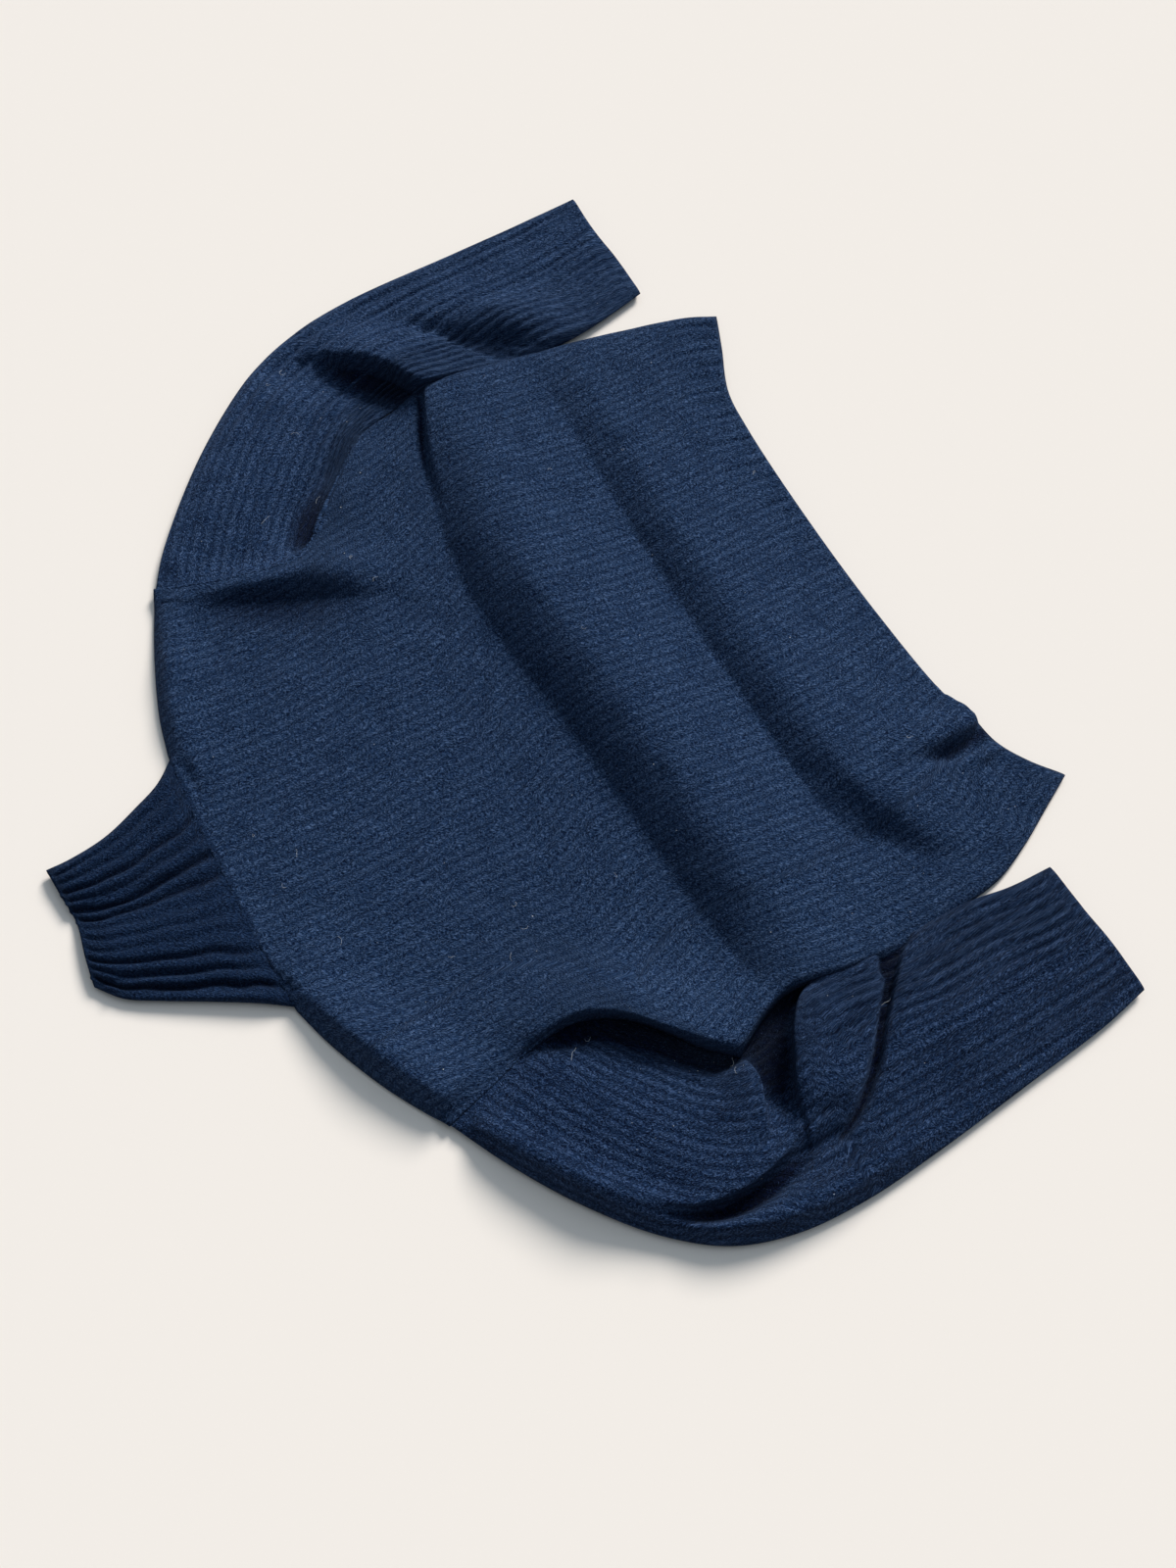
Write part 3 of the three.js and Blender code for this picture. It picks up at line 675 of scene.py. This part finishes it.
left_inner = [
    (298, 322), (302, 296), (305, 266), (303, 238), (297, 203), (289, 150), (289, 118), (294, 80),
    (299, 53),
]
left_cuff = [(413, 54), (375, 55), (337, 53), (299, 53)]

right_sleeve_folds = [
    # the full upper arm, the thick roll along the outer edge and the deep valley between them
    ([(-250, 500, 3), (-290, 465, 8), (-330, 430, 11), (-365, 390, 9), (-380, 350, 4),
      (-384, 330, 0)], 60, 60, "soft"),
    ([(-256, 530, 7), (-295, 510, 12), (-345, 480, 15), (-391, 443, 15), (-420, 407, 13),
      (-435, 363, 12), (-439, 310, 10), (-436, 265, 6), (-430, 220, 0)], 20, 9, "soft"),
    ([(-374, 442, 0), (-388, 424, 5), (-396, 388, 8), (-393, 358, 7),
      (-388, 335, 3)], 36, 5, "soft", -5),
    ([(-352, 474, 0), (-376, 456, -5), (-394, 436, -10), (-405, 411, -20), (-409, 388, -26),
      (-408, 365, -24), (-404, 344, -17), (-400, 322, -8), (-401, 302, -5)], 8, 10, "soft"),
    # inside the elbow: the upper arm's edge, the pocket under it and the flap that stands up beyond
    ([(-376, 350, 2), (-356, 343, 9), (-338, 336, 12), (-325, 335, 9),
      (-316, 336, 4)], 30, 4, "soft", -5),
    ([(-368, 326, -2), (-360, 324, -9), (-346, 319, -20), (-328, 311, -36), (-308, 303, -42),
      (-294, 289, -42), (-289, 270, -30), (-290, 258, -8)], 20, 14, "soft"),
    ([(-376, 315, 3), (-362, 309, 13), (-342, 298, 18), (-322, 286, 20), (-306, 272, 19),
      (-297, 258, 12)], 4, 38, "soft", 5),
    # the crease below the flap, and the edge of the flap that hangs over it
    ([(-404, 300, -10), (-393, 279, -26), (-373, 253, -40), (-349, 231, -40), (-325, 209, -40),
      (-307, 190, -40), (-299, 177, -10)], 3, 3, "soft"),
    ([(-319, 208, -6), (-310, 200, -34), (-302, 190, -34), (-299, 178, -8)], 7, 3, "soft"),
    ([(-396, 290, 3), (-384, 277, 6), (-363, 254, 8), (-340, 233, 8), (-317, 214, 8),
      (-303, 200, 5)], 24, 8, "soft"),
    ([(-408, 284, 2), (-395, 266, 4), (-373, 241, 5), (-349, 219, 5), (-325, 198, 5),
      (-308, 182, 3)], 8, 24, "soft"),
    ([(-412, 230, 0), (-388, 190, 4), (-372, 160, 5), (-352, 110, 0)], 40, 40, "soft"),
    # the hollow beside the roll of the front
    ([(-232, 470, -4), (-229, 440, -14), (-240, 411, -22), (-266, 388, -26), (-292, 367, -28),
      (-311, 349, -30), (-310, 332, -30), (-303, 316, -20)], 16, 8, "soft"),
    ([(-236, 452, -4), (-240, 426, -22), (-250, 406, -22), (-268, 392, -6)], 9, 8, "soft"),
    ([(-234, 470, 0), (-238, 440, -4), (-250, 412, -6), (-276, 390, -6),
      (-304, 366, -4)], 24, 34, "soft"),
]
left_sleeve_folds = [
    ([(258, 490, 2), (295, 450, 8), (330, 410, 9), (360, 370, 7), (372, 350, 0)], 50, 50, "soft"),
    # the hollow beside the seam
    ([(217, 425, -2), (226, 414, -15), (241, 398, -21), (256, 381, -15), (270, 365, -9),
      (284, 349, -4), (296, 336, 0)], 24, 9, "soft"),
    # inside the elbow: the pocket, the roll that stands over it, and the second hollow and ridge
    ([(298, 162, -3), (309, 173, -6), (322, 186, -5), (336, 199, 0)], 6, 12, "soft"),
    ([(290, 258, -8), (308, 272, -18), (325, 282, -24), (342, 295, -24), (360, 312, -15),
      (374, 327, -3)], 22, 9, "soft"),
    ([(298, 244, 9), (317, 260, 17), (335, 270, 20), (352, 283, 19), (369, 303, 13), (382, 321, 6),
      (388, 336, 0)], 10, 36, "soft", 7),
    ([(298, 180, -7), (324, 201, -9), (349, 222, -6), (378, 250, -3),
      (394, 264, 0)], 8, 12, "soft"),
    ([(296, 126, 6), (311, 142, 12), (329, 162, 13), (351, 186, 8), (381, 218, 3),
      (397, 236, 0)], 34, 30, "creased"),
]

upper_arm_width = 0.230
cuff_width = 0.114
sleeve_run = 0.4  # near enough the sleeve's length, for the rounding beside the armhole
tube_closeness = 0.5
sleeve_level = 0.0105
cuff_level = 0.0076
least_sleeve_level = 0.0038
rim_level = 0.0052  # height of the fold line along each edge of a flattened tube
upper_arm_round = 0.016
cuff_round = 0.009
underside_round = 0.006
underside_inset = 0.0035  # how far in the underside lies beside a seam, so the upper side hides it
underside_fade = 0.1
cuff_rib_share = 0.22
sleeve_rib_depth = 0.0007
right_elbow_ribs = 0.35  # how strong the ribs are at each elbow
left_elbow_ribs = 1.6
sleeve_ribs = 13
sleeve_depths = uneven_depths(sleeve_ribs, seed=7)
tucked_in = 0.007  # how far the sleeve reaches under the front's edge, as a share of its width
seam_drop = 0.0009  # how far below that edge the sleeve's own edge lies
tuck_fade = 0.25
shoulder_end = 0.998  # where the seam meets the shoulder's edge
row_fan = 3.4  # how long the rows of the knit fan out round the underarm
# How soon the sleeve changes on its way down to the cuff: its width, its level and its rounded edges
taper_pace = 1.6
sink_pace, sink_delay = 2.4, 1.3
thin_pace, thin_delay = 1.4, 0.2
# Where something sets in, as a share of the sleeve's length, and how long it takes to
lean_fade = 0.03
elbow_ribs_from, elbow_ribs_fade = 0.2, 0.15
cuff_ribs_from, cuff_ribs_fade = 0.62, 0.25
rib_end_fade = 0.015
# Painted light and painted shade: the right sleeve's knit is darker than the body's and the left
# sleeve's lighter, standing in for how much light each sleeve gets
right_sleeve_darkened_shades = [
    (0.34, (0.0007, 0.0040, 0.0167)),
    (0.59, (0.0086, 0.0244, 0.0657)),
    (0.86, (0.0516, 0.0902, 0.1855)),
]
left_sleeve_lightened_shades = [  # painted light: lighter than the body's knit, as if it caught more of the lamp
    (0.31, (0.0012, 0.0061, 0.0243)),
    (0.58, (0.0154, 0.0384, 0.0950)),
    (0.86, (0.0719, 0.1198, 0.2300)),
]


def flattened_tube(name, columns_over, columns_under, rows, upper, turned):
    """A tube that lies flat. upper gives the points of the upper run, and the cloth then goes back
    underneath."""
    columns = columns_over + columns_under
    rounding = 0.01  # of a column, so that the last one above still counts as above

    def surface(around, along):
        place = around * columns
        over = np.clip(place / columns_over, 0, 1)
        under = np.clip((columns - place) / columns_under, 0, 1)
        is_over = place <= columns_over + rounding
        return upper(closer_at_ends(np.where(is_over, over, under), tube_closeness), along, is_over)

    return knit_piece(name, columns, rows, surface, closed=True, turned=turned)


def tube_place(patch, across, along, width, is_over):
    """The plan of a flattened tube, whose underside lies in a little beside the seam."""
    tucked = mix(across, 0.5, underside_inset * ease(along / underside_fade) / width)
    return patch(np.where(is_over, across, tucked), along)


def tube_height(lifted, to_edge, radius, is_over):
    """Both sides of a flattened tube meet in a rounded fold along its edges."""
    over_height = mix(rim_level, lifted, quarter_round(to_edge, radius))
    under_height = rim_level * (1 - quarter_round(to_edge, underside_round))
    return np.where(is_over, over_height, under_height)


def table_place(place):
    return tuple(place / millimetre - hem_middle)


def sleeve_surface(is_right, outer, inner, cuff, folds):
    def seam(share):  # a little inside the front's edge, which covers it, except at the shoulder
        share = np.asarray(share, float)
        inside = tucked_in * ease(share / tuck_fade)
        return body_patch(inside if is_right else 1 - inside, mix(shoulder_end, underarm, share))

    outer_line = smooth_line([table_place(seam(0))] + outer[1:])
    inner_line = smooth_line([table_place(seam(1))] + inner[1:])
    patch = patch_between(
        seam, smooth_line(cuff), outer_line, lambda along: inner_line(along**row_fan)
    )
    fold_shape = fold_shapes(folds)
    seam_heights = np.array(right_armhole_heights if is_right else left_armhole_heights) - seam_drop
    elbow_ribs = right_elbow_ribs if is_right else left_elbow_ribs

    def upper(across, along, is_over):
        width = mix(upper_arm_width, cuff_width, ease(along * taper_pace))
        to_edge = np.minimum(across, 1 - across) * width
        to_seam = along * sleeve_run
        place = tube_place(patch, across, along, width, is_over)
        level = mix(sleeve_level, cuff_level, ease(sink_pace * along - sink_delay))
        folds_left = ease((1 - along) / (0.5 * cuff_rib_share))
        raised, pushed, painted_shade = fold_shape(place)
        lifted = np.maximum(level + raised * folds_left, least_sleeve_level)
        free = ease(to_edge / edge_margin) * ease(along / lean_fade) * is_over
        place = place + pushed * (free * folds_left)[..., None]
        at_elbow = elbow_ribs * ease((along - elbow_ribs_from) / elbow_ribs_fade)
        ribs = mix(at_elbow, 1, ease((along - cuff_ribs_from) / cuff_ribs_fade))
        relief = rib_relief(across, sleeve_depths) * ease(to_edge / edge_margin)
        relief = relief * ease((1 - along) / rib_end_fade)
        lifted = lifted + sleeve_rib_depth * ribs * relief
        lifted = lifted + crumple(place, seed=11, depth=crumple_depth)
        at_seam = np.interp(1 - across, armhole_shares, seam_heights)
        rounded = quarter_round(to_seam, shoulder_round)
        smooth = ease(to_seam / flush_round)
        lifted = mix(at_seam, lifted, mix(rounded, smooth, is_flush(1 - across, is_right)))
        edge_round = mix(upper_arm_round, cuff_round, ease(thin_pace * along - thin_delay))
        height = tube_height(lifted, to_edge, edge_round, is_over)
        painted_shade = painted_shade * folds_left * is_over
        return np.concatenate((place, height[..., None], painted_shade[..., None]), -1)

    return upper


upper_right_sleeve = sleeve_surface(True, right_outer, right_inner, right_cuff, right_sleeve_folds)
upper_left_sleeve = sleeve_surface(False, left_outer, left_inner, left_cuff, left_sleeve_folds)
right_sleeve_shaded_knit = knit_material(
    "navy brushed knit of the right sleeve, painted darker", right_sleeve_darkened_shades, rib_depth=0.65
)
left_sleeve_lit_knit = knit_material(
    "navy brushed knit of the left sleeve, painted lighter", left_sleeve_lightened_shades, rib_depth=0.6
)
right_sleeve = flattened_tube("right_sleeve", 144, 20, 260, upper_right_sleeve, turned=True)
left_sleeve = flattened_tube("left_sleeve", 144, 20, 260, upper_left_sleeve, turned=False)
for sleeve, node, cloth in (
    (right_sleeve, "sleeve_right", right_sleeve_shaded_knit),
    (left_sleeve, "sleeve_left", left_sleeve_lit_knit),
):
    sleeve.data.materials.append(cloth)
    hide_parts(node)
    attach(sleeve, "root")

# --------------------------------------------------------------------------------------------------
# Collar. A tall rib collar knitted as a tube, linked to the neckline and laid flat. It narrows
# upwards and is open at the top.
# --------------------------------------------------------------------------------------------------
collar_top = [(-27, 721), (-4, 717), (25, 711), (50, 712), (76, 713)]
collar_right_edge = [(-119, 599), (-101, 619), (-82, 649), (-62, 682), (-46, 706), (-27, 721)]
collar_left_edge = [(116, 591), (98, 608), (88, 632), (78, 662), (75, 690), (76, 713)]
collar_folds = [
    ([(-4, 724, 0), (-12, 690, 3), (-24, 645, 3), (-40, 612, 0)], 22, 26, "soft"),
    ([(34, 722, -3), (30, 680, -4), (24, 645, -2), (22, 618, 0)], 5, 16, "soft"),
    ([(66, 722, 0), (68, 680, 2), (76, 640, 0)], 14, 16, "soft"),
    ([(-40, 706, -3), (-60, 672, -4), (-80, 636, -4), (-96, 612, -2)], 4, 6, "soft"),
    ([(-28, 716, -3), (-42, 680, -3), (-58, 645, -2), (-70, 615, 0)], 4, 4, "soft"),
    ([(-62, 690, 3), (-84, 650, 5), (-104, 618, 5), (-116, 604, 3)], 10, 8, "soft"),
]
neckline_width = 0.236
collar_top_width = 0.104
collar_seam_level = 0.0083
collar_level = 0.0100
collar_top_level = 0.0075
collar_round = 0.012
collar_rib_depth = 0.0014
collar_rib_wander = 0.006
collar_depths = np.array((0.5, 1.9, 1.0, 1.3, 0.6, 0.8, 0.5, 1.5, 2.0, 1.1, 1.5, 0.7, 0.9, 0.5))
# Where these set in, as shares of the collar's height, and how long they take to
collar_seam_row = 0.993  # up the front
collar_rise_fade = 0.2
collar_thins_from, collar_thins_fade = 0.8, 0.2
collar_ribs_fade = 0.12
collar_rib_end_fade = 0.05
# Painted shade in the collar's grooves: how dark the deepest get, as a share of a full crease, and from
# what depth they darken
painted_groove_shade = 0.65
groove_shade_from, groove_shade_range = 0.2, 1.8
# Darker than the body's knit: partly the rib's own tone and partly painted shade, for the collar's
# slope away from the lamp
rib_shades = [
    (0.20, (0.0004, 0.0030, 0.0130)),
    (0.52, (0.0048, 0.0158, 0.0454)),
    (0.86, (0.0275, 0.0551, 0.1220)),
]


def collar_seam(share):  # a little below the neckline, whose edge covers it
    across = mix(collar_from, collar_to, np.asarray(share, float))
    return body_patch(across, np.full(across.shape, collar_seam_row))


collar_patch = patch_between(
    collar_seam,
    smooth_line(collar_top),
    smooth_line([table_place(collar_seam(0))] + collar_right_edge[1:]),
    smooth_line([table_place(collar_seam(1))] + collar_left_edge[1:]),
)
collar_fold_shape = fold_shapes(collar_folds)


def collar_surface(across, along, is_over):
    width = mix(neckline_width, collar_top_width, along)
    to_edge = np.minimum(across, 1 - across) * width
    place = tube_place(collar_patch, across, along, width, is_over)
    thins = ease((along - collar_thins_from) / collar_thins_fade)
    level = mix(collar_level, collar_top_level, thins)
    raised = collar_fold_shape(place)[0]
    lifted = mix(collar_seam_level, level + raised, ease(along / collar_rise_fade))
    lifted = np.maximum(lifted, least_sleeve_level)
    rib_place = np.clip(across + crumple(place, seed=17, depth=collar_rib_wander), 0, 1)
    relief = rib_relief(rib_place, collar_depths) * ease(to_edge / edge_margin)
    relief = relief * ease(along / collar_ribs_fade) * ease((1 - along) / collar_rib_end_fade)
    height = tube_height(lifted + collar_rib_depth * relief, to_edge, collar_round, is_over)
    painted_shade = painted_groove_shade * ease((-relief - groove_shade_from) / groove_shade_range) * is_over
    return np.concatenate((place, height[..., None], painted_shade[..., None]), -1)


rib_knit = knit_material("navy rib knit", rib_shades, rib_depth=0.2)
collar = flattened_tube("roll_collar", 110, 36, 60, collar_surface, turned=False)
collar.data.materials.append(rib_knit)
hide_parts("collar")
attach(collar, "root")

# --------------------------------------------------------------------------------------------------
# Linking. A row of small chain stitches joins each sleeve to the front. It shows beside the edge of
# the front, all along the left armhole and on the upper part of the right one.
# --------------------------------------------------------------------------------------------------
stitch_pitch = 0.0036
stitch_size = (0.0021, 0.0008, 0.0006)  # half its length, width and height
stitch_slant = 0.45
stitch_inset = 0.0045  # as a share of the front's width
stitch_rows = [(stitch_inset, 0.84), (1 - stitch_inset, underarm + 0.02)]  # and where each begins
stitches_until = 0.985
seam_steps = 400
yarn_contrast = (0.35, 0.65)
yarn_finish = {"Roughness": 0.95, "Specular IOR Level": 0.1}
yarn_mottle = {"Scale": 420.0, "Detail": 2.0}
yarn_relief = 0.0003


def yarn_material(name, dark, light):
    """A plain wool yarn that varies a little in colour."""
    material, tree, shader = new_material(name, yarn_finish)
    place = add_node(tree, "TexCoord").outputs["Object"]
    mottle = add_node(tree, "TexNoise", {"Vector": place, **yarn_mottle}).outputs[0]
    colour = shaded(tree, mottle, list(zip(yarn_contrast, (dark, light))))
    put_on(tree, shader, colour, mottle, strength=0.6, distance=yarn_relief)
    return material


def yarn_piece(name, bm, material):
    for face in bm.faces:
        face.smooth = True
    piece = placed_mesh(name, bm)
    piece.data.materials.append(material)
    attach(piece, "root")


bm = bmesh.new()
for across, from_share in stitch_rows:
    row = np.linspace(from_share, stitches_until, seam_steps)
    run = front_surface(np.full(row.shape, across), row)[:, :3]
    length = distance_along(run)
    for number, centre in enumerate(np.arange(stitch_pitch, length[-1], stitch_pitch)):
        place, ahead = (
            np.array([np.interp(centre + step, length, axis) for axis in run.T])
            for step in (0, millimetre)
        )
        turn = Vector(ahead - place).to_track_quat("X", "Z").to_matrix().to_4x4()
        slant = Matrix.Rotation(stitch_slant if number % 2 else -stitch_slant, 4, "Z")
        shape = Matrix.Translation(place) @ turn @ slant @ Matrix.Diagonal((*stitch_size, 1))
        bmesh.ops.create_uvsphere(bm, u_segments=7, v_segments=5, radius=1.0, matrix=shape)
linking_yarn = yarn_material("navy linking yarn", (0.004, 0.012, 0.035), (0.030, 0.060, 0.130))
yarn_piece("linking_stitches", bm, linking_yarn)

# --------------------------------------------------------------------------------------------------
# Brushed fibres. The wool is brushed, so short loose fibres stand off all over the outside. Each is
# a slender spike that starts in the cloth.
# --------------------------------------------------------------------------------------------------
hair_doublings = 15
hair_length = (0.0015, 0.0040)
hair_width = 0.00020
hair_lift = (0.0004, 0.0012)
hair_shares = [0.56, 0.20, 0.20, 0.04]  # what the front, the sleeves and the collar have of them
knit_sizes = [(0.56, 0.56), (0.17, 0.45), (0.17, 0.45), (0.16, 0.12)]  # rough width and length
rooted_within = (0.01, 0.985)  # shares across and along between which fibres start and end
ends_within = (0.002, 0.998)


def over(upper):
    return lambda across, along: upper(across, along, True)


uppers = [upper_right_sleeve, upper_left_sleeve, collar_surface]
outsides = [front_surface, *map(over, uppers)]
chance = np.random.default_rng(31)
hairs = []
for outside, share, size in zip(outsides, hair_shares, knit_sizes):
    count = int(share * 2**hair_doublings) + 1
    root = chance.uniform(*rooted_within, (2, count))
    long = chance.uniform(*hair_length, count)
    way = chance.uniform(0, 2 * np.pi, count)
    step = np.stack((np.cos(way) / size[0], np.sin(way) / size[1])) * long
    start = outside(*root)[:, :3]
    end = outside(*np.clip(root + step, *ends_within))[:, :3]
    aside = np.cross((0, 0, 1), end - start)
    aside *= 0.5 * hair_width / (np.linalg.norm(aside, axis=1, keepdims=True) + 1e-9)
    above = np.full(start.shape, (0, 0, 0.5 * hair_width))
    end[:, 2] += chance.uniform(*hair_lift, count)
    hairs.append(np.stack((aside, above, end - start, start), 1))
hairs = np.concatenate(hairs)
bm = bmesh.new()
bmesh.ops.create_cone(bm, segments=3, radius1=1.0, radius2=0.0, depth=1.0, cap_ends=True)
bmesh.ops.translate(bm, verts=bm.verts, vec=(0, 0, 0.5))
for _ in range(hair_doublings):
    bmesh.ops.duplicate(bm, geom=bm.verts[:] + bm.edges[:] + bm.faces[:])
tips = [vertex for vertex in bm.verts if vertex.co.z > 0.5]
for tip, hair in zip(tips, hairs):
    for vertex in (tip, *[edge.other_vert(tip) for edge in tip.link_edges]):
        vertex.co = (*vertex.co, 1) @ hair
fuzz_yarn = yarn_material("navy loose fibre", (0.006, 0.017, 0.046), (0.060, 0.105, 0.200))
yarn_piece("brushed_fibres", bm, fuzz_yarn)

# --------------------------------------------------------------------------------------------------
# Lint. A few pale bits of lint have settled on the front and the sleeves, and a few curled fibres
# have come loose.
# --------------------------------------------------------------------------------------------------
lint_count = 90
lint_shares = (0.6, 0.2, 0.2)  # what the front and the two sleeves have of it
lint_within = (0.04, 0.96)
lint_size = (0.0002, 0.00055)
curl_count = 26
curl_steps = 12
curl_pace = (0.00035, 0.0009)
curl_bend = 0.35  # how much a fibre turns at each step
curl_width = 0.00017
lint_lift = 0.0007
curl_lift = 0.0008
bm = bmesh.new()
for number in range(lint_count + curl_count):
    outside = outsides[chance.choice(3, p=lint_shares)]
    place = outside(*chance.uniform(*lint_within, (2, 1)))[0, :3] + (0, 0, lint_lift)
    turn = chance.uniform(0, 2 * np.pi)
    if number < lint_count:
        half = chance.uniform(*lint_size) * np.array((1, chance.uniform(0.4, 1), 0.5))
        turned = Matrix.Rotation(turn, 4, "Z")
        shape = Matrix.Translation(place) @ turned @ Matrix.Diagonal((*half, 1))
        bmesh.ops.create_uvsphere(bm, u_segments=6, v_segments=4, radius=1.0, matrix=shape)
        continue
    bends = chance.normal(chance.uniform(-curl_bend, curl_bend), curl_bend, curl_steps + 1)
    heading = turn + np.cumsum(bends)
    pace = chance.uniform(*curl_pace)
    path = np.cumsum(np.stack((np.cos(heading), np.sin(heading)), -1) * pace, axis=0)
    made = bmesh.ops.create_grid(bm, x_segments=curl_steps, y_segments=1, size=0.5)
    for vertex in made["verts"]:
        at = round((vertex.co.x + 0.5) * curl_steps)
        side = np.array((-np.sin(heading[at]), np.cos(heading[at]))) * curl_width * vertex.co.y
        vertex.co = (*(place[:2] + path[at] + side), place[2] + curl_lift)
lint_wool = yarn_material("pale lint", (0.20, 0.23, 0.27), (0.55, 0.58, 0.62))
yarn_piece("lint", bm, lint_wool)
